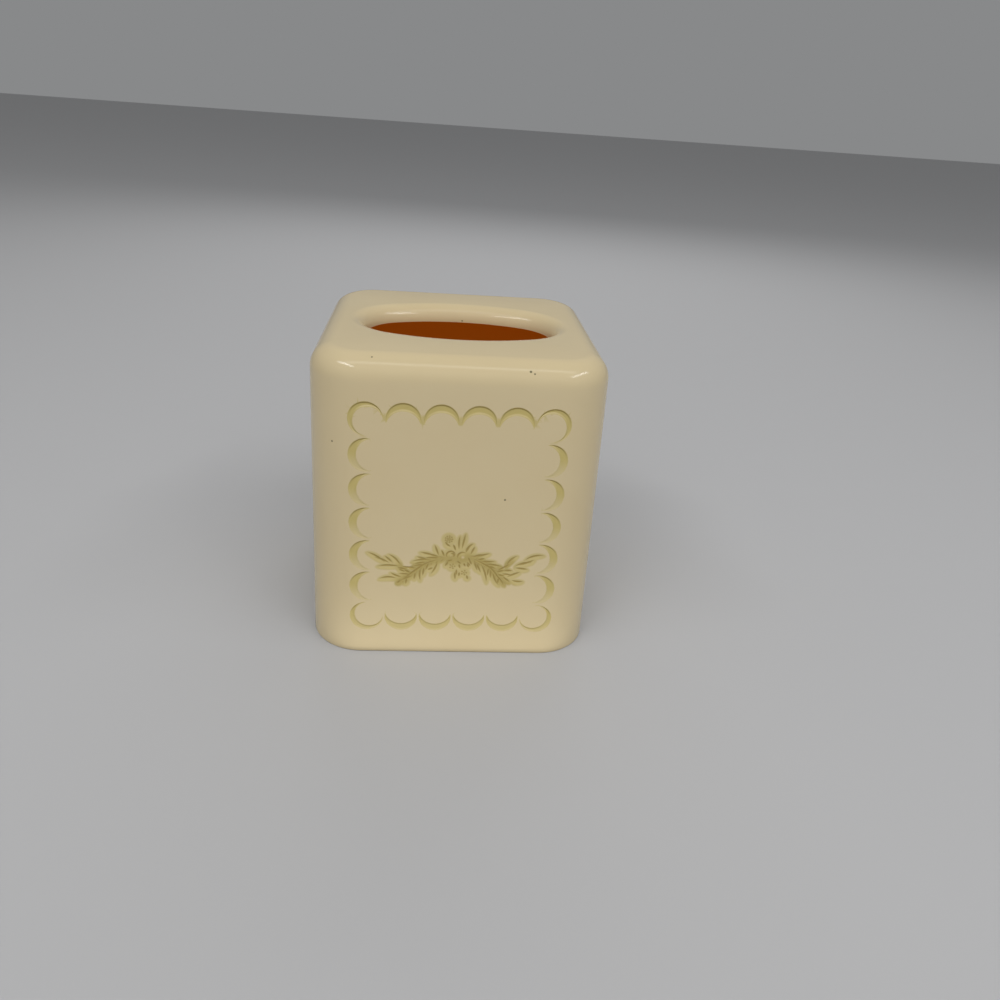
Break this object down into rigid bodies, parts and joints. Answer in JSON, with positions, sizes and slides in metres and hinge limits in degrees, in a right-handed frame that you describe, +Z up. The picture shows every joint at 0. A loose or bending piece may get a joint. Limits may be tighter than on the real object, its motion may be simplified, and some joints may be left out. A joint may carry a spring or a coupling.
{
  "type": "tissue box cover",
  "caption": "Open-based square cover for an upright tissue carton, with an oval top slot with a rolled lip and a scalloped border on the front.",
  "frame": {"origin": "middle of the base, on the surface that the cover stands on", "axes": "+Z up, -Y out of the decorated front, +X to the right as seen from the front"},
  "size_m": [0.135, 0.135, 0.145],
  "materials": {
    "cream_plastic": "gloss",
    "olive_fill": "satin"
  },
  "bodies": {
    "root": {"cover_shell": "cream_plastic", "row_scallop_fill": "olive_fill", "column_scallop_fill": "olive_fill", "corner_scallop_fill": "olive_fill"}
  },
  "joints": []
}
